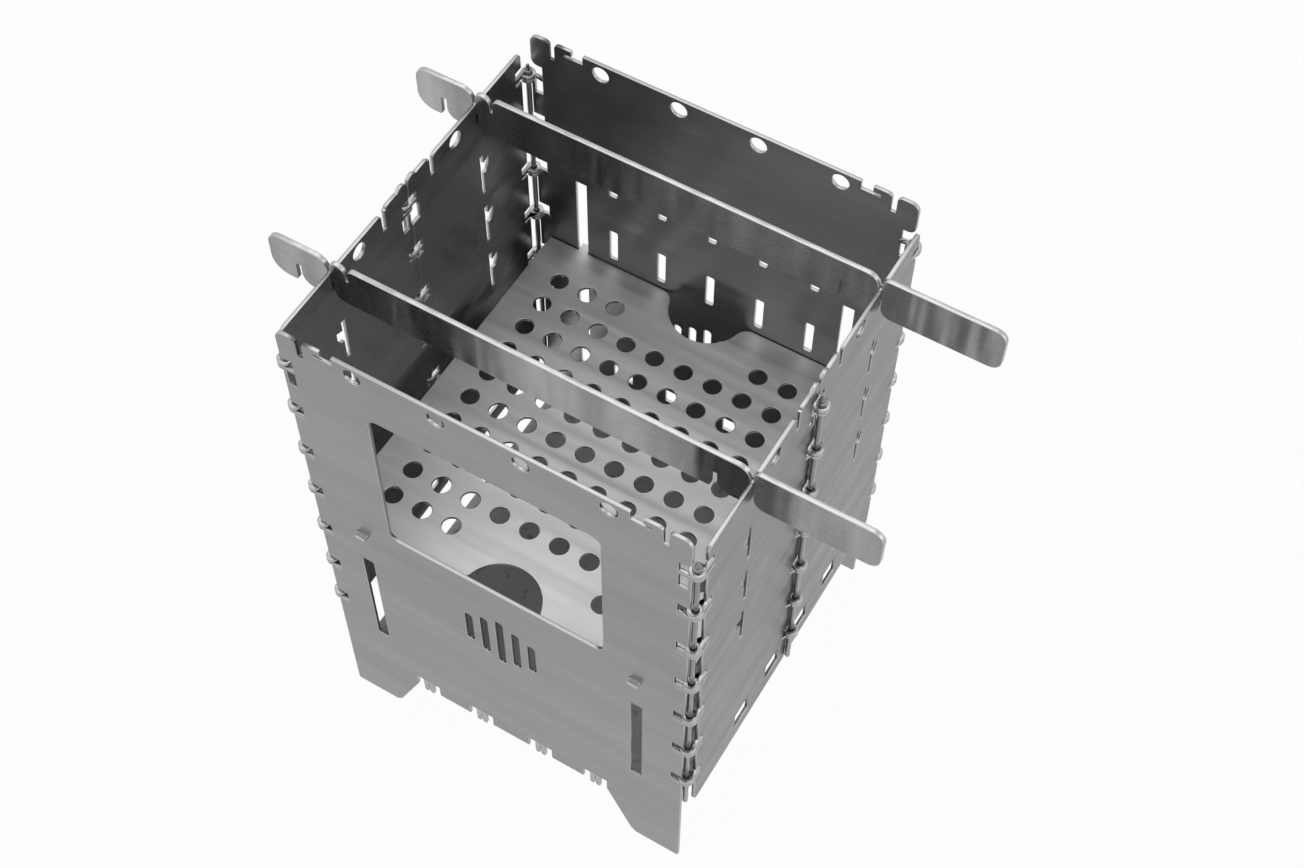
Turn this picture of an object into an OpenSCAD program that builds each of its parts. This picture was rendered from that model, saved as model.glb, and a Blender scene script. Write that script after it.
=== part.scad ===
// Folding wood stove of bent sheet steel: two tall plates joined by four half walls on six hinge
// rods, with a lift-out grate, an ash plate and two bars. Millimetres, Z up, feet on Z = 0.

/* [Plates] */
// Width of the front and rear plates
plate_w = 160; // [150:1:190]
// Height of the front and rear plates over the feet
plate_h = 254; // [245:1:275]
// Depth of the stove over the outer faces of the plates
body_d = 158.6; // [150:0.2:190]
// Thickness of every sheet
sheet_t = 1.5; // [1.2:0.1:1.6]
// Radius of the plates' top corners
plate_r = 3.5; // [1:0.5:4]
// Half width of the arch between the feet at its top
arch_half_w = 46; // [45:0.5:47]
// Height of the arch between the feet
arch_h = 28.5; // [22:0.5:30]
// Half distance between the inner toes of the feet
toe_half_w = 58.5; // [54:0.5:64]
// Radius of the toes
toe_r = 2; // [1:0.5:3]

/* [Plate top edge] */
// Diameter of the round holes along the top edge
top_hole_d = 7; // [4:0.5:7.5]
// Distance from the plate's top edge to the centres of its round holes
top_hole_drop = 5.1; // [4.5:0.1:8]
// Half spacing of the inner pair of round holes
top_hole_x1 = 16.4; // [12:0.1:22]
// Half spacing of the outer pair of round holes
top_hole_x2 = 49.4; // [40:0.1:51]
// Distance from the middle to the near end of the corner recess
recess_x0 = 57.2; // [56.8:0.1:58]
// Distance from the middle to the far end of the corner recess
recess_x1 = 65; // [64:0.1:66]
// Depth of the corner recess
recess_depth = 4; // [3:0.1:5]
// Distance from the middle to the tip of the hook finger
finger_tip_x = 62; // [61.8:0.1:62.5]
// Height of the hook finger at its tip
finger_h = 2.7; // [2:0.1:2.8]
// Distance from the middle to the narrow slit beside the finger
slit_x0 = 69.4; // [69:0.1:70]
// Width of the narrow slit
slit_w = 2.1; // [1.5:0.1:2.6]
// Depth of the narrow slit
slit_depth = 8.5; // [6:0.5:10]
// Radius that the slit's mouth is flared with
slit_flare_r = 2; // [1:0.1:2.4]

/* [Front openings] */
// Half width of the fuel window
window_half_w = 46; // [36:0.5:50]
// Bottom of the fuel window
window_z0 = 148; // [144:1:160]
// Distance from the plate's top edge to the top of the fuel window
window_drop = 27; // [22:1:64]
// Radius of the fuel window's corners
window_r = 4; // [2:0.5:8]
// Centre of the side draught slots from the middle
side_slot_x = 59.75; // [58:0.25:62]
// Width of the side draught slots
side_slot_w = 4.9; // [3:0.1:6]
// Bottom of the side draught slots
side_slot_z0 = 59; // [50:1:80]
// Top of the side draught slots
side_slot_z1 = 119.7; // [100:0.5:128]
// Radius of the corners of the draught slots and of the rear plate's narrow slots
slot_r = 0.8; // [0.4:0.1:1.2]

/* [Middle vent] */
// Number of slots in the middle vent
vent_count = 5; // [3:2:7]
// Spacing of the vent slots
vent_pitch = 7; // [6:0.5:9]
// Width of the vent slots
vent_slot_w = 3.4; // [2:0.1:4.5]
// Height of the vent over its middle slot
vent_h = 32; // [24:1:40]
// Height lost by each slot towards the sides
vent_step = 6; // [2:0.5:6]
// Height of the vent's centre
vent_z = 110; // [90:1:112]

/* [Rear openings] */
// Number of narrow slots in each row of the rear plate
rear_slot_count = 5; // [3:2:5]
// Spacing of the narrow slots
rear_slot_pitch = 22.3; // [18:0.1:24]
// Width of the narrow slots
rear_slot_w = 3.7; // [2.5:0.1:4.5]
// Bottom of the lower row
rear_low_z0 = 144; // [142.5:0.5:150]
// Top of the lower row
rear_low_z1 = 161.5; // [155:0.5:175]
// Bottom of the upper row
rear_high_z0 = 183; // [180:0.5:190]
// Top of the upper row
rear_high_z1 = 206; // [200:0.5:230]
// Top of the slots that the grate's rear tabs rise in
rear_tab_slot_z1 = 182.3; // [165:0.1:190]
// Bottom of the low air slots
low_slot_z0 = 61; // [50:0.5:62]
// Height of the low air slots
low_slot_h = 8.5; // [5:0.5:12]
// Width of the low air slots
low_slot_w = 9.4; // [6:0.2:11]

/* [Side walls] */
// Width of the stove over the outer faces of its side walls
body_w = 166.6; // [166:0.1:198]
// Bottom of the side walls
wall_z0 = 50; // [46:0.5:54]
// Distance from the plate's top edge to the top of the side walls
wall_drop = 7.7; // [4:0.1:10]
// Gap from a wall's end to the inner face of the plate
wall_end_gap = 3.8; // [3.5:0.1:4.2]
// Half gap between the two halves of a side wall
wall_mid_gap = 0.25; // [0.2:0.05:0.6]
// Radius of the walls' bottom corners
wall_r = 3; // [1:0.5:4]
// Radius of the walls' top corners
wall_top_r = 2; // [1:0.5:3]
// Distance of the walls' round holes from the mid hinge
wall_hole_y = 30; // [26:0.5:36]
// Distance of the narrow top slits from the mid hinge
wall_slit_y = 15; // [14:0.5:18]
// Depth of the narrow top slits
wall_slit_depth = 9; // [5:0.5:12]
// Width of the narrow top slits
wall_slit_w = 2; // [1.5:0.1:2.5]
// Height of the raised lug beside the mid hinge
lug_h = 2.4; // [1:0.2:3]
// Radius of the lug's round end at the mid hinge
knuckle_r = 3; // [2:0.1:4]
// Distance of the column of air slots from the mid hinge
air_slot_y = 44.6; // [40:0.2:50]
// Width of the air slots
air_slot_w = 2; // [1.5:0.1:3]
// Bottom of the lowest air slot
air_slot_z0 = 139; // [130:0.5:150]
// Distance from the wall's top to the top of the highest air slot
air_slot_drop = 28.6; // [24:0.1:34]
// Sheet left between two air slots
air_slot_gap = 8.3; // [5:0.1:12]
// Number of air slots in a column
air_slot_count = 3; // [1:1:3]
// Width of the punched notch at the side of an air slot
punch_w = 3.4; // [1:0.2:5]
// Height of the punched notch
punch_h = 7; // [3:0.5:9]
// Distance of the inner low slot from the mid hinge
foot_slot_y1 = 12; // [10:0.5:16]
// Distance of the outer low slot from the mid hinge
foot_slot_y2 = 37; // [30:0.5:46]
// Length of the low slots
foot_slot_l = 11; // [6:0.5:14]
// Height of the low slots
foot_slot_h = 12; // [8:0.5:13]
// Height of the low slots over the wall's bottom edge
foot_slot_up = 7.5; // [5:0.5:9]

/* [Hinges] */
// Diameter of the hinge rods
rod_d = 2.4; // [2:0.1:2.4]
// Radial clearance of a rod in its eyes
rod_fit = 0.05; // [0.03:0.01:0.1]
// Radius of the hinge eyes
eye_r = 3; // [2.6:0.1:3.2]
// Gap between two eyes on one rod
eye_gap = 0.3; // [0.2:0.05:0.5]
// Distance of the corner rods from the inner face of the side walls
corner_in_x = 1.2; // [1.2:0.05:1.6]
// Distance of the corner rods from the inner face of the plates
corner_in_y = 1.3; // [1.25:0.05:1.6]
// Distance of the mid rods outside the side walls
mid_out_x = 1.35; // [1.3:0.05:1.8]
// Number of hinge levels
eye_count = 7; // [3:1:7]
// Distance from the plate's top edge to the top hinge level
eye_drop = 19; // [18:0.5:24]
// Height of the lowest hinge level
eye_low_z = 74.8; // [72:0.1:80]
// Height of the window over each pair of eyes
eye_window_up = 3.8; // [3:0.1:5]
// Radius of the plates' corners over the top eyes
over_eye_r = 3; // [1:0.5:3.5]
// Depth of the eye windows from the plates' side edges
plate_window_d = 4.8; // [4.5:0.1:5.4]
// Depth of the eye windows from the walls' edges
wall_window_d = 4; // [3.8:0.1:5]
// Bottom end of the hinge rods
rod_z0 = 52; // [50:0.5:60]
// Radius of the upset heads on the rods
head_r = 1.8; // [1.6:0.1:2.2]
// Height of the upset heads
head_h = 1.6; // [1:0.1:2.5]
// Height of the tapered tip over a head
tip_h = 2.6; // [1:0.1:4]

/* [Grate] */
// Width of the grate
grate_w = 150; // [140:1:158]
// Height of the grate's top face
grate_z = 140; // [139:0.5:141]
// Gap between the grate and each plate
grate_gap = 0.3; // [0.2:0.05:0.5]
// Number of holes along each side of the grate
grate_count = 10; // [8:2:10]
// Spacing of the grate's holes
grate_pitch = 13.2; // [12:0.1:13.6]
// Diameter of the grate's holes
grate_hole_d = 7.5; // [5:0.1:9]
// Radius of the half round cut-outs
grate_bite_r = 16; // [12:0.5:18]
// Radius of the flare at the cut-outs' ends
bite_flare_r = 6; // [3:0.5:7]
// Distance of the grate's tabs from the middle
grate_tab_x = 59.4; // [58.5:0.1:59.6]
// Width of the grate's tabs
grate_tab_w = 4.4; // [3:0.1:4.6]
// Reach of the grate's tabs past the plates
grate_tab_out = 2.2; // [1:0.1:3]
// Side clearance of each tab in its slot
tab_fit = 0.25; // [0.15:0.05:0.3]
// Clear height over the front tabs
tab_over = 1.2; // [0.5:0.1:2]

/* [Ash plate] */
// Width of the ash plate
ash_w = 148.4; // [130:0.2:154]
// Underside of the ash plate
ash_z = 33.8; // [30:0.1:34]
// Gap between the ash plate and each plate
ash_gap = 0.2; // [0.2:0.05:0.4]
// Distance of the inner notches from the middle
ash_x1 = 14.3; // [12:0.1:18]
// Distance of the outer notches from the middle
ash_x2 = 40.5; // [30:0.1:40.5]
// Width of the notches in the plates' bottom edges
ash_notch_w = 11; // [8:0.2:11]
// Width of the two prongs at each of the ash plate's tabs
prong_w = 2.2; // [1.6:0.1:2.6]
// Gap between the two prongs
prong_gap = 0.5; // [0.4:0.1:1]
// Height that the prongs are turned down by, under the ash plate
prong_h = 7.3; // [5:0.1:8]

/* [Bars] */
// Thickness of the bars
bar_t = 2; // [1.5:0.1:3]
// Distance of the bars from the middle
bar_y = 45; // [42:0.5:48]
// Distance from the plates' top edge to the bars' top edge
bar_drop = 1.5; // [0.5:0.1:4]
// Height of a bar
bar_h = 19.7; // [16:0.1:22]
// Length of the bars' short end from the middle
bar_left = 108; // [104:1:120]
// Length of the bars' handle end from the middle
bar_right = 129.6; // [110:0.2:150]
// Radius of the bars' short end
bar_end_r = 5; // [2:0.5:7]
// Radius of the handle end's corners
handle_r = 4.5; // [2:0.5:7]
// Height of the slots in the bars
bar_slot_h = 9.2; // [7:0.1:9.8]
// Clearance each side of a wall in a bar's slot
bar_slot_fit = 0.4; // [0.2:0.05:0.6]
// Distance that the second pair of slots is moved
bar_shift = 13.7; // [10:0.1:16]
// Clearance each side of a bar in a wall's slot
wall_slot_fit = 0.2; // [0.15:0.05:0.3]
// Radius of the bars' large shoulders beside the notches in the top edge
shoulder_r = 5; // [3:0.1:5.5]
// Radius of the bars' small shoulders beside these notches
small_shoulder_r = 2.4; // [1:0.1:3]
// Depth of these notches
bar_notch_depth = 6.5; // [5.5:0.1:7.2]
// Width of these notches at the bottom
bar_notch_w = 1; // [0.6:0.1:1.6]
// Distance from the short end's wall to the second notch
hump_w = 7.5; // [7.4:0.1:9]
// Radius that flares the bars' slots on the handle side
mouth_r = 4.5; // [2:0.1:5.5]
// Radius that flares them on the other side
small_mouth_r = 1.2; // [0.5:0.1:2]

/* [Hidden] */

$fn = 48;
// The bars reach further on the handle side, so the stove's middle lies beside the origin
middle_x = (bar_left - bar_right) / 2;
half_d = body_d / 2;
half_w = body_w / 2;
plate_in_y = half_d - sheet_t;
wall_in_x = half_w - sheet_t;
wall_end_y = plate_in_y - wall_end_gap;
corner_x = wall_in_x - corner_in_x;
corner_y = plate_in_y - corner_in_y;
mid_x = half_w + mid_out_x;
window_z1 = plate_h - window_drop;
wall_z1 = plate_h - wall_drop;
bar_z1 = plate_h - bar_drop;
air_slot_span = wall_z1 - air_slot_drop - air_slot_z0;
air_slot_h = (air_slot_span - (air_slot_count - 1) * air_slot_gap) / air_slot_count;
air_slot_pitch = air_slot_h + air_slot_gap;
eye_top_z = plate_h - eye_drop;
eye_pitch = (eye_top_z - eye_low_z) / (eye_count - 1);
eye_levels = [for (i = [0 : eye_count - 1]) eye_top_z - i * eye_pitch];
// Each level has the plate's or front wall's eye below and the next sheet's eye above
low_eye_drop = 2 * sheet_t + eye_gap;
window_under = low_eye_drop + eye_gap;
neck_root = 0.6;
tall_window_up = 3;
tall_window_down = 11;
tall_window_w = 3.4;
tall_wall_window_d = wall_window_d + 1;
ash_notch_top = ash_z + sheet_t + ash_gap;
tab_slot_w = grate_tab_w + 2 * tab_fit;
grate_under = grate_z - sheet_t;
bar_z0 = bar_z1 - bar_h;
bar_seat_z = bar_z0 + bar_slot_h;
wall_slot_w = bar_t + 2 * wall_slot_fit;
bar_slot_w = sheet_t + 2 * bar_slot_fit;
wall_mid_x = half_w - sheet_t / 2;
slip = 0.01;

plate_steel = [0.60, 0.60, 0.59];
wall_steel = [0.48, 0.48, 0.48];
grate_steel = [0.76, 0.76, 0.75];
bar_steel = [0.56, 0.56, 0.55];
rod_steel = [0.70, 0.70, 0.70];

// Points of an arc from angle a0 to a1
function arc(x, y, r, a0, a1, n = 5) =
    [for (i = [0 : n]) let (a = a0 + (a1 - a0) * i / n) [x + r * cos(a), y + r * sin(a)]];

// Every node is drawn round the stove's middle and set beside the origin by this
module set_in_place() {
    translate([middle_x, 0, 0]) children();
}

// A flat outline in X and Z, raised as a sheet whose outer face points to -Y
module front_sheet() {
    translate([0, -plate_in_y, 0]) rotate([90, 0, 0]) linear_extrude(sheet_t) children();
}

// A flat outline in Y and Z, raised as a sheet whose outer face points to +X
module right_sheet() {
    translate([wall_in_x, 0, 0]) rotate([90, 0, 90]) linear_extrude(sheet_t) children();
}

module both_sides() {
    children();
    mirror([1, 0]) children();
}

module both_ends() {
    children();
    mirror([0, 1]) children();
}

// A rectangle between two corners
module window(x0, y0, x1, y1) {
    translate([x0, y0]) square([x1 - x0, y1 - y0]);
}

module round_window(x0, y0, x1, y1, r) {
    polygon(concat(arc(x1 - r, y1 - r, r, 0, 90), arc(x0 + r, y1 - r, r, 90, 180),
                   arc(x0 + r, y0 + r, r, 180, 270), arc(x1 - r, y0 + r, r, 270, 360)));
}

// An upright slot with round ends
module slot(x, y0, y1, w) {
    window(x - w / 2, y0 + w / 2, x + w / 2, y1 - w / 2);
    translate([x, y0 + w / 2]) circle(d = w);
    translate([x, y1 - w / 2]) circle(d = w);
}

// What a square corner at x, y loses when it is rounded; its material lies towards dx, dy
module corner_loss(x, y, dx, dy, r) {
    polygon(concat([[x - dx * slip, y - dy * slip], [x - dx * slip, y + dy * r]],
        [for (i = [0 : 6]) let (a = 15 * i) [x + dx * r * (1 - cos(a)), y + dy * r * (1 - sin(a))]],
        [[x + dx * r, y - dy * slip]]));
}

// The outline that both tall plates share, with feet, arch, notches and hinge windows
module plate_outline() {
    half = plate_w / 2;
    difference() {
        both_sides() polygon(concat(
            [[0, arch_h], [arch_half_w, arch_h], [toe_half_w - toe_r / 2, toe_r]],
            arc(toe_half_w + toe_r, toe_r, toe_r, 205, 270, 4),
            arc(half - toe_r / 2, toe_r / 2, toe_r / 2, 270, 360, 4),
            arc(half - plate_r, plate_h - plate_r, plate_r, 0, 90),
            [[0, plate_h]]));
        both_sides() top_edge_cuts();
        both_sides() corner_loss(half, eye_top_z + eye_window_up, -1, 1, over_eye_r);
        both_sides() for (z = eye_levels)
            window(half - plate_window_d, z - window_under, half + slip, z + eye_window_up);
        both_sides() window(half - plate_window_d, eye_top_z - tall_window_down,
                            half - plate_window_d + tall_window_w, eye_top_z + tall_window_up);
        both_sides() for (x = [ash_x1, ash_x2])
            window(x - ash_notch_w / 2, arch_h - slip, x + ash_notch_w / 2, ash_notch_top);
    }
}

// Round holes, corner recess, hook finger and slit along a plate's top edge
module top_edge_cuts() {
    for (x = [top_hole_x1, top_hole_x2])
        translate([x, plate_h - top_hole_drop]) circle(d = top_hole_d);
    window(recess_x0, plate_h - recess_depth, finger_tip_x, plate_h + slip);
    window(finger_tip_x - slip, plate_h - recess_depth, recess_x1, plate_h - finger_h);
    window(slit_x0, plate_h - slit_depth, slit_x0 + slit_w, plate_h + slip);
    corner_loss(slit_x0, plate_h, -1, -1, slit_flare_r);
    corner_loss(slit_x0 + slit_w, plate_h, 1, -1, slit_flare_r);
}

// A plain group of upright slots that steps down to both sides
module middle_vent() {
    last = (vent_count - 1) / 2;
    for (i = [-last : last]) {
        half = vent_h / 2 - abs(i) * vent_step / 2;
        slot(i * vent_pitch, vent_z - half, vent_z + half, vent_slot_w);
    }
}

// A narrow slot with small corner radii
module narrow_slot(x, y0, y1, w) {
    round_window(x - w / 2, y0, x + w / 2, y1, slot_r);
}

module side_draught_slots() {
    both_sides() narrow_slot(side_slot_x, side_slot_z0, side_slot_z1, side_slot_w);
}

// Slots for the grate's tabs, up to the given height
module tab_slots(top) {
    both_sides() window(grate_tab_x - tab_slot_w / 2, grate_under,
                        grate_tab_x + tab_slot_w / 2, top);
}

// One flat eye round a rod at x, y, with a neck from its sheet at neck_x, neck_y
module eye(x, y, z, neck) {
    translate([0, 0, z]) linear_extrude(sheet_t) {
        translate([x, y]) circle(r = eye_r);
        polygon(neck);
    }
}

// The plate's eyes at one corner: a neck along the sheet, then the eye round the rod
module corner_plate_eyes() {
    x0 = plate_w / 2 - plate_window_d - neck_root;
    for (z = eye_levels)
        eye(corner_x, -corner_y, z - low_eye_drop,
            [[x0, -half_d], [corner_x, -half_d], [corner_x, -corner_y - 0.5 * rod_d],
             [x0, -plate_in_y + slip]]);
}

// The side wall's eyes at the corner, over those of the plate
module corner_wall_eyes() {
    y0 = -wall_end_y + wall_window_d + neck_root;
    for (z = eye_levels)
        eye(corner_x, -corner_y, z - sheet_t,
            [[half_w, y0], [wall_in_x, y0], [wall_in_x - 0.3, -corner_y],
             [half_w, -corner_y]]);
}

// The eyes of one half wall at the mid rod
module mid_wall_eyes(drop) {
    y0 = -wall_mid_gap - wall_window_d - neck_root;
    for (z = eye_levels)
        eye(mid_x, 0, z - drop,
            [[half_w, y0], [wall_in_x, y0], [wall_in_x, -0.4 * eye_r], [mid_x, 0],
             [mid_x + 0.3, -0.4 * eye_r]]);
}

module rod_bores(x, y) {
    translate([x, y, -1]) cylinder(d = rod_d + 2 * rod_fit, h = plate_h + 2);
}

module front_plate() {
    color(plate_steel) set_in_place() difference() {
        union() {
            front_sheet() difference() {
                plate_outline();
                round_window(-window_half_w, window_z0, window_half_w, window_z1, window_r);
                side_draught_slots();
                middle_vent();
                tab_slots(grate_z + tab_over);
            }
            corner_plate_eyes();
            mirror([1, 0, 0]) corner_plate_eyes();
        }
        for (s = [-1, 1]) rod_bores(s * corner_x, -corner_y);
    }
}

module rear_plate() {
    last = (rear_slot_count - 1) / 2;
    color(plate_steel) set_in_place() mirror([0, 1, 0]) difference() {
        union() {
            front_sheet() difference() {
                plate_outline();
                for (i = [-last : last]) {
                    narrow_slot(i * rear_slot_pitch, rear_low_z0, rear_low_z1, rear_slot_w);
                    narrow_slot(i * rear_slot_pitch, rear_high_z0, rear_high_z1, rear_slot_w);
                }
                side_draught_slots();
                middle_vent();
                tab_slots(rear_tab_slot_z1);
                both_sides() for (x = [ash_x1, ash_x2])
                    window(x - low_slot_w / 2, low_slot_z0, x + low_slot_w / 2,
                           low_slot_z0 + low_slot_h);
            }
            corner_plate_eyes();
            mirror([1, 0, 0]) corner_plate_eyes();
        }
        for (s = [-1, 1]) rod_bores(s * corner_x, -corner_y);
    }
}

// Outline of a half wall from the mid hinge at y = 0 towards its corner at negative y. The tall
// window at the top eye leaves a strip beside the mid hinge, or none.
module wall_outline(strip) {
    y_end = -wall_end_y;
    y_mid = -wall_mid_gap;
    lug_y0 = -wall_slit_y + wall_slit_w;
    difference() {
        polygon(concat(
            [[y_mid, wall_z0]], arc(y_end + wall_r, wall_z0 + wall_r, wall_r, 270, 180),
            arc(y_end + wall_top_r, wall_z1 - wall_top_r, wall_top_r, 180, 90), [[lug_y0, wall_z1]],
            arc(lug_y0 + lug_h / 2, wall_z1, lug_h / 2, 180, 90),
            [[y_mid - 2.2 * knuckle_r, wall_z1 + lug_h / 2]],
            arc(y_mid - knuckle_r, wall_z1 + lug_h - knuckle_r, knuckle_r, 150, 0)));
        for (z = eye_levels) {
            window(y_end - slip, z - window_under, y_end + wall_window_d, z + eye_window_up);
            window(y_mid - wall_window_d, z - window_under, y_mid + slip, z + eye_window_up);
        }
        window(y_mid - tall_wall_window_d, eye_top_z - tall_window_down, y_mid - strip,
               eye_top_z - window_under + slip);
        window(-bar_y - wall_slot_w / 2, bar_seat_z, -bar_y + wall_slot_w / 2, wall_z1 + slip);
        translate([-wall_hole_y, wall_z1 - top_hole_drop]) circle(d = top_hole_d);
        window(-wall_slit_y - wall_slit_w / 2, wall_z1 - wall_slit_depth,
               -wall_slit_y + wall_slit_w / 2, wall_z1 + lug_h);
        corner_loss(-wall_slit_y - wall_slit_w / 2, wall_z1, -1, -1, slit_flare_r);
        air_slots();
        for (y = [foot_slot_y1, foot_slot_y2])
            window(-y - foot_slot_l / 2, wall_z0 + foot_slot_up, -y + foot_slot_l / 2,
                   wall_z0 + foot_slot_up + foot_slot_h);
    }
}

// The column of narrow slots, each with a punched notch on its corner side
module air_slots() {
    side = -air_slot_y - air_slot_w / 2;
    for (i = [0 : air_slot_count - 1]) {
        z0 = air_slot_z0 + i * air_slot_pitch;
        zp = z0 + air_slot_h / 2;
        window(side, z0, side + air_slot_w, z0 + air_slot_h);
        polygon([[side + slip, zp], [side - punch_w / 2, zp + slip], [side - punch_w, zp + punch_h / 2],
                 [side - punch_w, zp + punch_h], [side + slip, zp + punch_h * 0.8]]);
    }
}

// The right front half wall; the others are its mirror images, with the mid eyes at their own level
module half_wall(mid_drop, strip) {
    color(wall_steel) difference() {
        union() {
            right_sheet() wall_outline(strip);
            corner_wall_eyes();
            mid_wall_eyes(mid_drop);
        }
        rod_bores(corner_x, -corner_y);
        rod_bores(mid_x, 0);
    }
}

module left_front_wall() {
    set_in_place() mirror([1, 0, 0]) half_wall(low_eye_drop, sheet_t);
}

module left_rear_wall() {
    set_in_place() mirror([1, 0, 0]) mirror([0, 1, 0]) half_wall(sheet_t, -slip);
}

module right_front_wall() {
    set_in_place() half_wall(low_eye_drop, sheet_t);
}

module right_rear_wall() {
    set_in_place() mirror([0, 1, 0]) half_wall(sheet_t, -slip);
}

// A hinge rod that hangs on the top eye by its head, which ends in a short tip
module rod(x, y) {
    color(rod_steel) set_in_place() translate([x, y, 0]) {
        translate([0, 0, rod_z0]) cylinder(d = rod_d, h = eye_top_z - rod_z0 + slip);
        translate([0, 0, eye_top_z]) cylinder(r = head_r, h = head_h);
        translate([0, 0, eye_top_z + head_h - slip])
            cylinder(r1 = 0.6 * head_r, r2 = 0.3 * head_r, h = tip_h);
    }
}

// The grate's cut-out at the front edge, with its ends flared
module grate_bite() {
    edge = -plate_in_y + grate_gap;
    flare_x = sqrt(pow(grate_bite_r + bite_flare_r, 2) - pow(bite_flare_r, 2));
    translate([0, edge]) circle(r = grate_bite_r);
    both_sides() difference() {
        polygon([[0, edge - slip], [flare_x, edge - slip], [flare_x, edge + bite_flare_r], [0, edge]]);
        translate([flare_x, edge + bite_flare_r]) circle(r = bite_flare_r);
    }
}

module grate() {
    last = (grate_count - 1) / 2;
    depth = 2 * (plate_in_y - grate_gap);
    tab_end = half_d + grate_tab_out;
    clear = grate_bite_r + 1.5 * grate_hole_d;
    color(grate_steel) set_in_place() translate([0, 0, grate_under]) linear_extrude(sheet_t) difference() {
        union() {
            square([grate_w, depth], center = true);
            for (x = [-grate_tab_x, grate_tab_x])
                translate([x, 0]) square([grate_tab_w, 2 * tab_end], center = true);
        }
        for (i = [-last : last], j = [-last : last])
            if (norm([i * grate_pitch, plate_in_y - abs(j) * grate_pitch]) > clear)
                translate([i * grate_pitch, j * grate_pitch]) circle(d = grate_hole_d);
        both_ends() grate_bite();
    }
}

// A tab that fills the notch's depth and is turned down in it as two prongs
module ash_tab(x) {
    w = 2 * prong_w + prong_gap;
    translate([x - w / 2, -half_d, ash_z])
        cube([w, sheet_t + ash_gap + neck_root, sheet_t]);
    for (side = [-1, 1])
        translate([x + side * (prong_w + prong_gap) / 2, -plate_in_y, ash_z + sheet_t])
            rotate([90, 0, 0]) linear_extrude(sheet_t) polygon(concat(
                [[prong_w / 2, 0], [-prong_w / 2, 0]],
                arc(0, prong_w / 2 - prong_h - sheet_t, prong_w / 2, 180, 360, 10)));
}

module ash_plate() {
    color(wall_steel) set_in_place() {
        translate([-ash_w / 2, -plate_in_y + ash_gap, ash_z])
            cube([ash_w, 2 * (plate_in_y - ash_gap), sheet_t]);
        for (x = [-ash_x2, -ash_x1, ash_x1, ash_x2]) {
            ash_tab(x);
            mirror([0, 1, 0]) ash_tab(x);
        }
    }
}

// A notch in a bar's top edge at x between two shoulders
module top_notch(x, left_r, right_r) {
    window(x - bar_notch_w / 2, bar_z1 - bar_notch_depth, x + bar_notch_w / 2, bar_z1 + slip);
    corner_loss(x - bar_notch_w / 2, bar_z1, -1, -1, left_r);
    corner_loss(x + bar_notch_w / 2, bar_z1, 1, -1, right_r);
}

// A slot in a bar's lower edge at x, for the side walls
module bar_slot(x) {
    window(x - bar_slot_w / 2, bar_z0 - slip, x + bar_slot_w / 2, bar_seat_z);
    corner_loss(x - bar_slot_w / 2, bar_z0, -1, 1, small_mouth_r);
    corner_loss(x + bar_slot_w / 2, bar_z0, 1, 1, mouth_r);
}

// Outline of a bar, with the handle towards +X
module bar_outline() {
    low_r = 1.4 * bar_end_r;
    difference() {
        polygon(concat(
            arc(bar_right - handle_r, bar_z1 - handle_r, handle_r, 0, 90),
            arc(-bar_left + bar_end_r, bar_z1 - bar_end_r, bar_end_r, 90, 180),
            arc(-bar_left + low_r, bar_z0 + low_r, low_r, 180, 270, 7),
            arc(bar_right - handle_r, bar_z0 + handle_r, handle_r, 270, 360)));
        for (x = [-wall_mid_x, wall_mid_x]) {
            bar_slot(x);
            bar_slot(x - bar_shift);
            top_notch(x, shoulder_r, small_shoulder_r);
        }
        top_notch(hump_w - wall_mid_x, 0.8 * shoulder_r, small_shoulder_r);
    }
}

module bar(y) {
    color(bar_steel) set_in_place() translate([0, y + bar_t / 2, 0]) rotate([90, 0, 0])
        linear_extrude(bar_t) bar_outline();
}

front_plate();
rear_plate();
left_front_wall();
left_rear_wall();
right_front_wall();
right_rear_wall();
rod(-corner_x, -corner_y);  // front_left_rod
rod(corner_x, -corner_y);  // front_right_rod
rod(-corner_x, corner_y);  // rear_left_rod
rod(corner_x, corner_y);  // rear_right_rod
rod(-mid_x, 0);  // left_mid_rod
rod(mid_x, 0);  // right_mid_rod
grate();
ash_plate();
bar(-bar_y);  // front_bar
bar(bar_y);  // rear_bar
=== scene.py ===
"""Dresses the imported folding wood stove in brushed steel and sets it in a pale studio.

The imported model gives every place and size. This script lays rounded, brushed sheets over the
packed ones, turns the hinge rods, and makes the camera, the floor and the lights.
"""

from __future__ import annotations

import logging
import math
from dataclasses import dataclass
from enum import Enum

import bmesh
import bpy
from mathutils import Matrix, Vector


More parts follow.
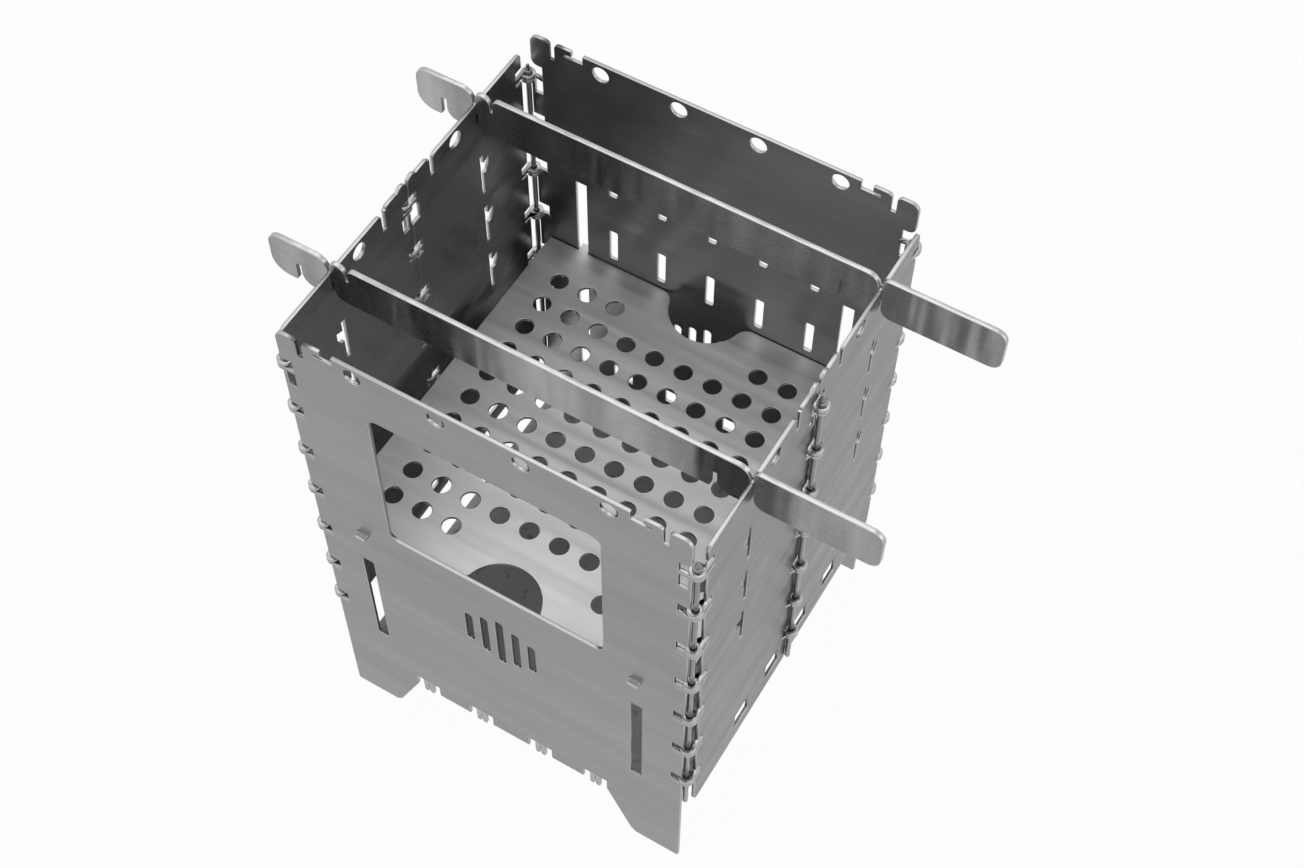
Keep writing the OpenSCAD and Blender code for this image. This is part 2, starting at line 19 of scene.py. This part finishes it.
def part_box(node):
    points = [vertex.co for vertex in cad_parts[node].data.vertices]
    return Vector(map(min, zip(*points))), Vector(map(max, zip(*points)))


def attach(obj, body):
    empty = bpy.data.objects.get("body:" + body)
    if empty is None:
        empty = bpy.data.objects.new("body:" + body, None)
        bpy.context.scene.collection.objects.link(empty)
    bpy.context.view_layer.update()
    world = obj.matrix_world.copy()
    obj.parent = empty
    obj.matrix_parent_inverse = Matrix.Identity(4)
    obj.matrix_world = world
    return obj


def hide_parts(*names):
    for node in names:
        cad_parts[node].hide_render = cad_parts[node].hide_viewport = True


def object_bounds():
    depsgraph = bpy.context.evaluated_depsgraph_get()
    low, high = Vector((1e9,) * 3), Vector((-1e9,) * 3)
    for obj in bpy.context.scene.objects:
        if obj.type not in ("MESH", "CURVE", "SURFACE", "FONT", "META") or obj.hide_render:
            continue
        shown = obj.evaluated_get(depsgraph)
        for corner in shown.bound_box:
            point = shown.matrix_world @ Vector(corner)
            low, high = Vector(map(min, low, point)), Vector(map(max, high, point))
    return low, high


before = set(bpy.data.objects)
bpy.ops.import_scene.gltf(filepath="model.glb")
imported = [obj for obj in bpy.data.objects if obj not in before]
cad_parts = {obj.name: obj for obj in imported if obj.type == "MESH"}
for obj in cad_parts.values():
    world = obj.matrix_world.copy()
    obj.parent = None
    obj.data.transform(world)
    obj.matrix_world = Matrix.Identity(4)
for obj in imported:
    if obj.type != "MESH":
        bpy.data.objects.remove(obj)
CAD_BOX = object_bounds()
LOG = logging.getLogger("stove")

# The middle of a noise, which runs from 0 to 1
NOISE_MIDDLE = 0.5
# Points nearer than this are one point, in metres
WELD_DISTANCE = 0.000002
WHITE = (1.0, 1.0, 1.0, 1.0)
# No stretch of a pattern
EVEN = (1.0, 1.0, 1.0)


class Grain(Enum):
    """The direction in which a sheet was brushed, as the stretch of its scratches."""

    ALONG_X = (0.05, 1.0, 1.0)
    ALONG_Y = (1.0, 0.05, 1.0)


class Facing(Enum):
    """The axis that a sheet's two faces look along, as its place in a vector."""

    X = 0
    Y = 1
    Z = 2


@dataclass(frozen=True)
class Pattern:
    """A noise over the steel.

    scale counts its features to a metre, detail and rough are the number and the strength of its
    finer octaves, and start shifts it, so that patterns of a like size don't run together.
    """

    scale: float
    detail: float = 3.0
    rough: float = 0.5
    start: tuple[float, float, float] = (0.0, 0.0, 0.0)


class Value:
    """A socket that adds Math nodes when it is used in an expression."""

    def __init__(self, graph: Graph, socket: bpy.types.NodeSocket) -> None:
        """Keeps the socket and the graph that it lives in."""
        self.graph = graph
        self.socket = socket

    def compute(self, operation: str, first: object, second: object) -> Value:
        """Adds one Math node.

        Args:
            operation: Blender's name of the operation.
            first: The first number or socket.
            second: The second number or socket.

        Returns:
            The node's result.
        """
        return self.graph.node("ShaderNodeMath", {"operation": operation}, {0: first, 1: second})

    def __add__(self, other: object) -> Value:
        """Adds."""
        return self.compute("ADD", self, other)

    def __radd__(self, other: object) -> Value:
        """Adds to a number."""
        return self.compute("ADD", other, self)

    def __sub__(self, other: object) -> Value:
        """Subtracts."""
        return self.compute("SUBTRACT", self, other)

    def __rsub__(self, other: object) -> Value:
        """Subtracts from a number."""
        return self.compute("SUBTRACT", other, self)

    def __mul__(self, other: object) -> Value:
        """Multiplies."""
        return self.compute("MULTIPLY", self, other)

    def __rmul__(self, other: object) -> Value:
        """Multiplies a number."""
        return self.compute("MULTIPLY", other, self)

    def larger(self, other: object) -> Value:
        """The larger of the two."""
        return self.compute("MAXIMUM", self, other)

    def __abs__(self) -> Value:
        """Drops the sign."""
        return self.compute("ABSOLUTE", self, 0.0)

    def swing(self, amount: float) -> Value:
        """A noise made to swing about 0, by this amount to each side at most."""
        return (self - NOISE_MIDDLE) * (2.0 * amount)

    def spread(self, low: float, high: float, out_low: float = 0.0, out_high: float = 1.0) -> Value:
        """Maps a range onto another, smoothly and clamped.

        Args:
            low: The lowest value that comes in.
            high: The highest value that comes in.
            out_low: What the lowest becomes.
            out_high: What the highest becomes.

        Returns:
            The mapped value.
        """
        return self.graph.node("ShaderNodeMapRange", {"interpolation_type": "SMOOTHSTEP", "clamp": True},
                               {"Value": self, "From Min": low, "From Max": high,
                                "To Min": out_low, "To Max": out_high})


class Graph:
    """The node graph of one material or world."""

    def __init__(self, owner: bpy.types.Material | bpy.types.World, output: str) -> None:
        """Clears the owner's nodes and adds its output.

        Args:
            owner: The material or world that the nodes belong to.
            output: Blender's type of the output node.
        """
        owner.use_nodes = True
        self.owner = owner
        self.tree = owner.node_tree
        self.tree.nodes.clear()
        self.output = self.tree.nodes.new(output)

    @classmethod
    def of_material(cls, name: str) -> Graph:
        """Starts a new material of this name."""
        return cls(bpy.data.materials.new(name), "ShaderNodeOutputMaterial")

    @classmethod
    def of_world(cls, name: str) -> Graph:
        """Starts a new world of this name."""
        return cls(bpy.data.worlds.new(name), "ShaderNodeOutputWorld")

    def node(self, kind: str, settings: dict[str, object], inputs: dict[object, object],
             output: int | str = 0) -> Value:
        """Adds any node.

        Args:
            kind: Blender's type of the node.
            settings: The node's own properties, set before its sockets.
            inputs: Numbers, colours or sockets by input name or index.
            output: The name or index of the output that is returned.

        Returns:
            The chosen output, wrapped.
        """
        made = self.tree.nodes.new(kind)
        for key, setting in settings.items():
            setattr(made, key, setting)
        for key, value in inputs.items():
            if isinstance(value, Value):
                self.tree.links.new(value.socket, made.inputs[key])
            else:
                made.inputs[key].default_value = value
        return Value(self, made.outputs[output])

    def place(self) -> Value:
        """Object coordinates, in metres."""
        return self.node("ShaderNodeTexCoord", {}, {}, "Object")

    def noise(self, pattern: Pattern, stretch: tuple[float, float, float] = EVEN) -> Value:
        """A noise over the object.

        Args:
            pattern: The noise's scale, detail and start.
            stretch: How dense it is along each axis, as a share of its scale.

        Returns:
            The noise, from 0 to 1.
        """
        where = self.node("ShaderNodeMapping", {},
                          {"Vector": self.place(), "Location": pattern.start, "Scale": stretch})
        return self.node("ShaderNodeTexNoise", {"noise_dimensions": "3D"},
                         {"Vector": where, "Scale": pattern.scale, "Detail": pattern.detail,
                          "Roughness": pattern.rough})

    def split(self, vector: Value) -> list[Value]:
        """The X, Y and Z of a vector."""
        node = self.node("ShaderNodeSeparateXYZ", {}, {0: vector}).socket.node
        return [Value(self, output) for output in node.outputs]

    def blend(self, factor: Value, first: Value, second: Value) -> Value:
        """Mixes two colours.

        Args:
            factor: How much of the second.
            first: The colour where the factor is 0.
            second: The colour where the factor is 1.

        Returns:
            The mixed colour.
        """
        colour_a, colour_b, colour_out = 6, 7, 2
        return self.node("ShaderNodeMix", {"data_type": "RGBA"},
                         {0: factor, colour_a: first, colour_b: second}, colour_out)

    def tinted(self, grey: Value, tint: tuple[float, float, float]) -> Value:
        """A grey as a colour, with a slight tint."""
        return self.node("ShaderNodeVectorMath", {"operation": "SCALE"}, {0: tint, "Scale": grey})

    def bump(self, height: Value, strength: float, distance: float, under: Value | None = None) -> Value:
        """Turns a height into a normal.

        Args:
            height: The height, from 0 to 1.
            strength: How much of the bump is used.
            distance: The real height of 1, in metres.
            under: The normal that this one is laid on.

        Returns:
            The normal.
        """
        inputs = {"Strength": strength, "Distance": distance, "Height": height}
        if under is not None:
            inputs["Normal"] = under
        return self.node("ShaderNodeBump", {}, inputs)

    def background_rays(self) -> Value:
        """Picks the rays that show the background: the camera's, and those metal or glass sends on.

        Returns:
            1 for these rays and 0 for the others.
        """
        camera, glossy, through = (self.node("ShaderNodeLightPath", {}, {}, f"Is {kind} Ray")
                                   for kind in ("Camera", "Glossy", "Transmission"))
        return camera.larger(glossy).larger(through)

    def finish(self, surface: Value) -> bpy.types.Material | bpy.types.World:
        """Links the surface to the output and returns the material or world."""
        self.tree.links.new(surface.socket, self.output.inputs["Surface"])
        return self.owner


@dataclass(frozen=True)
class SheetFinish:
    """Brushed stainless sheet: satin faces with fine scratches, and bright cut edges.

    face and edge are the greys of the steel. scratch, cloud, rolled, smear, soot and spots say how
    much each pattern changes them, and the fields that start with rough_ how much each changes the
    roughness. bump and wave are the heights of the scratches and of the soft waves, in metres, and
    each has a strength, the share of it that is used. glance is the shine at a glancing angle.
    A point is on a face where the normal is at least face_full along the sheet's own axis. Round
    the hinge rods the cut edges are darkened with painted shade, by hinge_shade, fully within
    hinge_shade_near of a rod's axis and not at all beyond hinge_shade_far. rods has the place of a
    corner rod and of a middle one, and the others mirror them.
    """

    name: str
    slot: str
    face: float
    edge: float
    roughness: float
    grain: Grain
    facing: Facing
    tint: tuple[float, float, float] = (1.0, 1.0, 0.985)
    scratch: float = 0.08
    cloud: float = 0.22
    rolled: float = 0.15
    smear: float = 0.03
    soot: float = 0.0
    spots: float = 0.1
    wave: float = 0.0028
    wave_strength: float = 0.5
    bump: float = 0.00001
    bump_strength: float = 0.15
    glance: float = 0.85
    rough_scratch: float = 0.08
    rough_cloud: float = 0.15
    rough_smear: float = 0.06
    rough_edge: float = 0.30
    fine_share: float = 0.9
    fine_height: float = 0.5
    face_from: float = 0.90
    face_full: float = 0.985
    soot_from: float = 0.60
    soot_full: float = 0.68
    # Painted shade on the cut edges round the hinge rods: its depth, the distance within which it is
    # full and the distance beyond which it is gone
    hinge_shade: float = 0.70
    hinge_shade_near: float = 0.003464
    hinge_shade_far: float = 0.006
    rods: tuple[tuple[float, float], ...] = ((0.0806, 0.0765), (0.08465, 0.0))
    rolled_stretch: tuple[float, float, float] = (0.12, 0.12, 1.0)
    fine_lines: Pattern = Pattern(5200.0, 2.0, 0.6)
    streak_lines: Pattern = Pattern(900.0, 4.0, 0.65)
    clouds: Pattern = Pattern(16.0, 4.0, 0.55, (0.31, 0.17, 0.05))
    smears: Pattern = Pattern(62.0, start=(0.07, 0.41, 0.23))
    bands: Pattern = Pattern(70.0, start=(0.12, 0.33, 0.71))
    waves: Pattern = Pattern(58.0, 2.0, start=(0.53, 0.11, 0.37))
    specks: Pattern = Pattern(210.0, 3.0, 0.6, (0.19, 0.05, 0.61))
    edge_spots: Pattern = Pattern(1400.0, 2.0, 0.6, (0.0, 0.2, 0.0))

    def material(self) -> bpy.types.Material:
        """Builds the material.

        Returns:
            The material, ready for a piece.
        """
        graph = Graph.of_material(self.name)
        fine = graph.noise(self.fine_lines, self.grain.value)
        streak = graph.noise(self.streak_lines, self.grain.value)
        lines = (fine - NOISE_MIDDLE) * self.fine_share + (streak - NOISE_MIDDLE)
        cloud = graph.noise(self.clouds)
        smear = graph.noise(self.smears)
        rough = (self.roughness + lines * self.rough_scratch + cloud.swing(self.rough_cloud)
                 + smear.swing(self.rough_smear))
        on_face = self.on_face(graph)
        face = graph.tinted(self.face_grey(graph, lines, cloud, smear), self.tint)
        edge = graph.tinted(self.edge_grey(graph), self.tint)
        surface = graph.node(
            "ShaderNodeBsdfPrincipled", {},
            {"Base Color": graph.blend(on_face, edge, face), "Metallic": 1.0,
             "Roughness": rough * on_face + (1.0 - on_face) * self.rough_edge,
             "Normal": self.normal(graph, fine * self.fine_height + streak),
             "Specular Tint": (self.glance, self.glance, self.glance, 1.0)})
        return graph.finish(surface)

    def on_face(self, graph: Graph) -> Value:
        """Tells the sheet's two faces from its cut edges.

        Args:
            graph: The material's graph.

        Returns:
            1 on a face and 0 on an edge.
        """
        normal = graph.node("ShaderNodeTexCoord", {}, {}, "Normal")
        return abs(graph.split(normal)[self.facing.value]).spread(self.face_from, self.face_full)

    def face_grey(self, graph: Graph, lines: Value, cloud: Value, smear: Value) -> Value:
        """Works out how bright the sheet's faces are.

        Args:
            graph: The material's graph.
            lines: The brushed lines, about 0.
            cloud: The large, soft patches, from 0 to 1.
            smear: The finger-sized patches, from 0 to 1.

        Returns:
            The grey of the faces.
        """
        band = graph.noise(self.bands, self.rolled_stretch)
        speck = graph.noise(self.specks).spread(self.soot_from, self.soot_full)
        steel = (1.0 + lines * (2.0 * self.scratch) + cloud.swing(self.cloud)
                 + smear.swing(self.smear) + band.swing(self.rolled))
        return (1.0 - speck * self.soot) * steel * self.face

    def edge_grey(self, graph: Graph) -> Value:
        """Works out how bright the cut edges are, which are darkened with painted shade round the hinge
        rods.

        Args:
            graph: The material's graph.

        Returns:
            The grey of the edges.
        """
        spot = 1.0 + graph.noise(self.edge_spots).swing(self.spots)
        # Painted shade: the cut edges are darkened round the hinge rods
        return spot * (1.0 - self.at_rods(graph) * self.hinge_shade) * self.edge

    def at_rods(self, graph: Graph) -> Value:
        """Finds the places round the hinge rods.

        Args:
            graph: The material's graph.

        Returns:
            1 at a rod and 0 away from it.
        """
        across, along, _ = graph.split(graph.place())
        near = []
        for x, y in self.rods:
            off_x = abs(across) - x
            off_y = abs(along) - y
            off_squared = off_x * off_x + off_y * off_y
            near.append(off_squared.spread(self.hinge_shade_near ** 2, self.hinge_shade_far ** 2, 1.0, 0.0))
        return near[0].larger(near[1])

    def normal(self, graph: Graph, scratches: Value) -> Value:
        """Lays the soft waves that rolling leaves over the scratches.

        Args:
            graph: The material's graph.
            scratches: The height of the scratches.

        Returns:
            The normal.
        """
        scratched = graph.bump(scratches, self.bump_strength, self.bump)
        wavy = graph.noise(self.waves, self.rolled_stretch)
        return graph.bump(wavy, self.wave_strength, self.wave, scratched)


@dataclass(frozen=True)
class RodFinish:
    """Drawn stainless rod with fine lines along it.

    plain, drawn and cloud are the shares of its grey that are even, in lines and in clouds. bump
    is the height of the lines in metres, and bump_strength the share of it that is used.
    """

    name: str
    slot: str
    grey: float = 0.22
    roughness: float = 0.20
    tint: tuple[float, float, float] = (1.0, 1.0, 0.99)
    plain: float = 0.86
    drawn: float = 0.12
    cloud: float = 0.16
    rough_swing: float = 0.06
    bump: float = 0.00002
    bump_strength: float = 0.3
    drawn_stretch: tuple[float, float, float] = (1.0, 1.0, 0.04)
    drawn_lines: Pattern = Pattern(6000.0, 2.0)
    clouds: Pattern = Pattern(90.0, start=(0.2, 0.0, 0.3))

    def material(self) -> bpy.types.Material:
        """Builds the material.

        Returns:
            The material, ready for a piece.
        """
        graph = Graph.of_material(self.name)
        drawn = graph.noise(self.drawn_lines, self.drawn_stretch)
        cloud = graph.noise(self.clouds)
        grey = (self.plain + drawn * self.drawn + cloud * self.cloud) * self.grey
        rough = self.roughness + drawn.swing(self.rough_swing) + cloud.swing(self.rough_swing)
        surface = graph.node("ShaderNodeBsdfPrincipled", {},
                             {"Base Color": graph.tinted(grey, self.tint), "Metallic": 1.0,
                              "Roughness": rough,
                              "Normal": graph.bump(drawn, self.bump_strength, self.bump)})
        return graph.finish(surface)


def show(mesh: bmesh.types.BMesh, name: str, material: bpy.types.Material) -> bpy.types.Object:
    """Makes an object of a mesh and puts it in the scene.

    Args:
        mesh: The mesh, which is freed.
        name: The object's name.
        material: Its material.

    Returns:
        The object.
    """
    data = bpy.data.meshes.new(name)
    mesh.to_mesh(data)
    mesh.free()
    data.materials.append(material)
    made = bpy.data.objects.new(name, data)
    bpy.context.scene.collection.objects.link(made)
    LOG.info("%s: %d faces", name, len(data.polygons))
    return made


@dataclass
class Sheets:
    """Flat pieces of one finish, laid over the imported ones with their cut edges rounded."""

    finish: SheetFinish
    nodes: tuple[str, ...]
    edge_radius: float = 0.00022
    edge_steps: int = 2
    sharp_angle: float = math.radians(38.0)
    flat_angle: float = math.radians(0.6)
    flat_normal: float = 0.9995

    def build(self) -> None:
        """Dresses every sheet in one material."""
        steel = self.finish.material()
        for node in self.nodes:
            self.dress(node, steel)

    def dress(self, node: str, steel: bpy.types.Material) -> None:
        """Copies one packed sheet, rounds its edges and gives it its finish.

        Args:
            node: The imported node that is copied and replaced. Its body has the same name.
            steel: The sheet's material.
        """
        mesh = bmesh.new()
        mesh.from_mesh(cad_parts[node].data)
        bmesh.ops.remove_doubles(mesh, verts=mesh.verts[:], dist=WELD_DISTANCE)
        bmesh.ops.dissolve_limit(mesh, angle_limit=self.flat_angle, verts=mesh.verts[:],
                                 edges=mesh.edges[:])
        sharp = [edge for edge in mesh.edges
                 if edge.is_manifold and edge.calc_face_angle(0.0) > self.sharp_angle]
        bmesh.ops.bevel(mesh, geom=sharp, offset=self.edge_radius, offset_type="OFFSET",
                        segments=self.edge_steps, profile=0.5, affect="EDGES", clamp_overlap=False,
                        material=-1)
        mesh.normal_update()
        for face in mesh.faces:
            face.smooth = abs(face.normal[self.finish.facing.value]) < self.flat_normal
        piece = show(mesh, node + "_sheet", steel)
        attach(piece, node)
        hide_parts(node)


@dataclass
class HingeRods:
    """The six hinge rods, turned with a rounded collar, a tapered tip and a chamfered foot.

    carried_by says which body each rod rides on. Each outline is a list of radii, as shares of the
    collar's, and heights in metres over the rod's foot, the collar's underside and the rod's tip.
    """

    finish: RodFinish
    carried_by: dict[str, str]
    collar_drop: float = 0.0042
    foot: tuple[tuple[float, float], ...] = ((0.0, 0.0), (0.42, 0.0), (0.552, 0.0002), (0.6, 0.0005))
    collar: tuple[tuple[float, float], ...] = ((0.6, 0.0), (0.9, 0.0), (1.0, 0.0002), (1.0, 0.0013),
                                               (0.93, 0.0015), (0.84, 0.0016), (0.6, 0.0016))
    tip: tuple[tuple[float, float], ...] = ((0.345, -0.0003), (0.255, -0.0001), (0.15, 0.0), (0.0, 0.0))
    turns: int = 32
    sharp_angle: float = math.radians(50.0)

    def build(self) -> None:
        """Turns every rod in one material."""
        steel = self.finish.material()
        for node, body in self.carried_by.items():
            self.turn(node, body, steel)

    def outline(self, low: Vector, high: Vector) -> list[tuple[float, float]]:
        """Works out the outline that is turned.

        Args:
            low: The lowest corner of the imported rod's box.
            high: Its highest corner.

        Returns:
            The radius and the height of each point, from the foot up.
        """
        radius = (high.x - low.x) / 2.0
        parts = ((low.z, self.foot), (high.z - self.collar_drop, self.collar), (high.z, self.tip))
        return [(share * radius, level + height) for level, part in parts for share, height in part]

    def turn(self, node: str, body: str, steel: bpy.types.Material) -> None:
        """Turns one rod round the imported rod's axis.

        Args:
            node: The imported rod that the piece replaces.
            body: The body that it rides on.
            steel: The rod's material.
        """
        low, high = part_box(node)
        mesh = bmesh.new()
        points = [mesh.verts.new((x, 0.0, z)) for x, z in self.outline(low, high)]
        edges = [mesh.edges.new(pair) for pair in zip(points, points[1:])]
        bmesh.ops.spin(mesh, geom=points + edges, cent=(0.0, 0.0, 0.0), axis=(0.0, 0.0, 1.0),
                       angle=math.tau, steps=self.turns, use_merge=True, use_duplicate=False)
        bmesh.ops.remove_doubles(mesh, verts=mesh.verts[:], dist=WELD_DISTANCE)
        bmesh.ops.recalc_face_normals(mesh, faces=mesh.faces[:])
        middle = (low + high) / 2.0
        bmesh.ops.translate(mesh, vec=Vector((middle.x, middle.y, 0.0)), verts=mesh.verts[:])
        for face in mesh.faces:
            face.smooth = True
        for edge in mesh.edges:
            edge.smooth = edge.calc_face_angle(0.0) < self.sharp_angle
        piece = show(mesh, node + "_turned", steel)
        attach(piece, body)
        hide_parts(node)


@dataclass(frozen=True)
class Lamp:
    """One soft square lamp, with its place in metres and its power in watts."""

    name: str
    place: tuple[float, float, float]
    power: float


@dataclass
class Studio:
    """The camera, the pale floor, the white surroundings and the soft lamps.

    The camera's place is in metres, its angles are in degrees, and its lens and film are in
    millimetres. shade_middle and shade_half are the middle and the half size of the shaded place
    on the floor, along X and Y.
    """

    eye: tuple[float, float, float] = (0.2145, -0.3588, 0.7937)
    azimuth: float = 29.87
    elevation: float = 56.62
    roll: float = 0.85
    lens: float = 55.84
    film: float = 36.0
    nearest: float = 0.01
    farthest: float = 50.0
    world_level: float = 0.13
    floor_size: float = 6.0
    floor_gap: float = 0.0001
    floor_grey: float = 0.9
    floor_white: float = 0.97
    shade_middle: tuple[float, float] = (-0.036, 0.019)
    shade_half: tuple[float, float] = (0.060, 0.076)
    shade_soft: float = 0.012
    shade_depth: float = 0.85
    lamp_size: float = 1.5
    lamp_aim: tuple[float, float, float] = (0.0, 0.0, 0.13)
    lamps: tuple[Lamp, ...] = (
        Lamp("lamp behind", (-0.3, 0.6, 2.1), 7.0),
        Lamp("lamp in front", (-1.2, -0.9, 1.5), 5.0),
        Lamp("lamp right", (2.0, 0.4, 0.8), 8.0),
    )

    def camera(self) -> None:
        """Sets the camera at the photograph's viewing angle."""
        azimuth, elevation, roll = (math.radians(v) for v in (self.azimuth, self.elevation, self.roll))
        back = Vector((math.sin(azimuth) * math.cos(elevation), -math.cos(azimuth) * math.cos(elevation),
                       math.sin(elevation)))
        right = Vector((0.0, 0.0, 1.0)).cross(back).normalized()
        up = back.cross(right)
        turned_right = right * math.cos(roll) + up * math.sin(roll)
        turned_up = up * math.cos(roll) - right * math.sin(roll)
        made = bpy.data.cameras.new("camera")
        made.lens = self.lens
        made.sensor_width = self.film
        made.clip_start = self.nearest
        made.clip_end = self.farthest
        holder = bpy.data.objects.new("camera", made)
        axes = Matrix((turned_right, turned_up, back)).transposed().to_4x4()
        holder.matrix_world = Matrix.Translation(Vector(self.eye)) @ axes
        bpy.context.scene.collection.objects.link(holder)
        bpy.context.scene.camera = holder

    def floor(self) -> None:
        """Lays the floor under the feet, nearly as white as the background, with a faint shadow."""
        mesh = bmesh.new()
        bmesh.ops.create_grid(mesh, x_segments=2, y_segments=2, size=self.floor_size)
        level = Vector((0.0, 0.0, CAD_BOX[0].z - self.floor_gap))
        bmesh.ops.translate(mesh, vec=level, verts=mesh.verts[:])
        graph = Graph.of_material("pale floor")
        grey = (self.floor_grey, self.floor_grey, self.floor_grey, 1.0)
        paint = graph.node("ShaderNodeBsdfDiffuse", {}, {"Color": grey})
        glow = graph.node("ShaderNodeEmission", {}, {"Color": WHITE, "Strength": 1.0})
        share = graph.background_rays() * (self.floor_white - self.shade(graph) * self.shade_depth)
        mixed = graph.node("ShaderNodeMixShader", {}, {0: share, 1: paint, 2: glow})
        show(mesh, "floor", graph.finish(mixed))

    def shade(self, graph: Graph) -> Value:
        """Shades the floor under the ash plate.

        Args:
            graph: The floor's graph.

        Returns:
            1 in the shaded place and 0 away from it.
        """
        across, along, _ = graph.split(graph.place())
        inside = [abs(value - middle).spread(half - self.shade_soft, half, 1.0, 0.0)
                  for value, middle, half in zip((across, along), self.shade_middle, self.shade_half)]
        return inside[0] * inside[1]

    def world(self) -> None:
        """Makes the surroundings white for the camera and in the metal, and softer as light."""
        graph = Graph.of_world("white surroundings")
        light = graph.node("ShaderNodeBackground", {}, {"Color": WHITE, "Strength": self.world_level})
        seen = graph.node("ShaderNodeBackground", {}, {"Color": WHITE, "Strength": 1.0})
        mixed = graph.node("ShaderNodeMixShader", {}, {0: graph.background_rays(), 1: light, 2: seen})
        bpy.context.scene.world = graph.finish(mixed)

    def hang(self, lamp: Lamp) -> None:
        """Hangs one lamp that points at the stove."""
        made = bpy.data.lights.new(lamp.name, "AREA")
        made.shape = "SQUARE"
        made.size = self.lamp_size
        made.energy = lamp.power
        holder = bpy.data.objects.new(lamp.name, made)
        aim = Vector(self.lamp_aim) - Vector(lamp.place)
        turn = aim.to_track_quat("-Z", "Y").to_matrix().to_4x4()
        holder.matrix_world = Matrix.Translation(Vector(lamp.place)) @ turn
        bpy.context.scene.collection.objects.link(holder)

    def build(self) -> None:
        """Makes the whole studio."""
        self.camera()
        self.floor()
        self.world()
        for lamp in self.lamps:
            self.hang(lamp)


PLATES = Sheets(
    SheetFinish("plate sheet", "plate_steel", face=0.30, edge=0.42, roughness=0.34,
                grain=Grain.ALONG_X, facing=Facing.Y),
    ("front_plate", "rear_plate"))
WALLS = Sheets(
    SheetFinish("wall sheet", "wall_steel", face=0.25, edge=0.42, roughness=0.30,
                grain=Grain.ALONG_Y, facing=Facing.X, glance=0.75),
    ("left_front_wall", "left_rear_wall", "right_front_wall", "right_rear_wall"))
GRATE = Sheets(
    SheetFinish("grate sheet", "grate_steel", face=0.56, edge=0.50, roughness=0.58,
                grain=Grain.ALONG_X, facing=Facing.Z, rolled=0.30, wave=0.005,
                rolled_stretch=(0.08, 1.0, 1.0)),
    ("grate",))
ASH_PLATE = Sheets(
    SheetFinish("ash sheet", "ash_steel", face=0.44, edge=0.42, roughness=0.46,
                grain=Grain.ALONG_X, facing=Facing.Z, cloud=0.34, soot=0.35),
    ("ash_plate",))
BARS = Sheets(
    SheetFinish("bar sheet", "bar_steel", face=0.30, edge=0.46, roughness=0.28,
                grain=Grain.ALONG_X, facing=Facing.Y, scratch=0.30, cloud=0.30, rolled=0.75,
                wave=0.0045, rolled_stretch=(1.0, 1.0, 0.16),
                streak_lines=Pattern(1500.0, 4.0, 0.65)),
    ("front_bar", "rear_bar"))
RODS = HingeRods(
    RodFinish("drawn rod", "rod_steel"),
    {"front_left_rod": "front_plate", "front_right_rod": "front_plate",
     "rear_left_rod": "rear_plate", "rear_right_rod": "rear_plate",
     "left_mid_rod": "left_front_wall", "right_mid_rod": "right_front_wall"})


def main() -> None:
    """Builds the stove's pieces and the studio."""
    logging.basicConfig(level=logging.INFO, format="%(name)s: %(message)s")
    bpy.context.scene.view_settings.view_transform = "Standard"
    for pieces in (PLATES, WALLS, GRATE, ASH_PLATE, BARS, RODS):
        pieces.build()
    Studio().build()


if __name__ == "__main__":
    main()
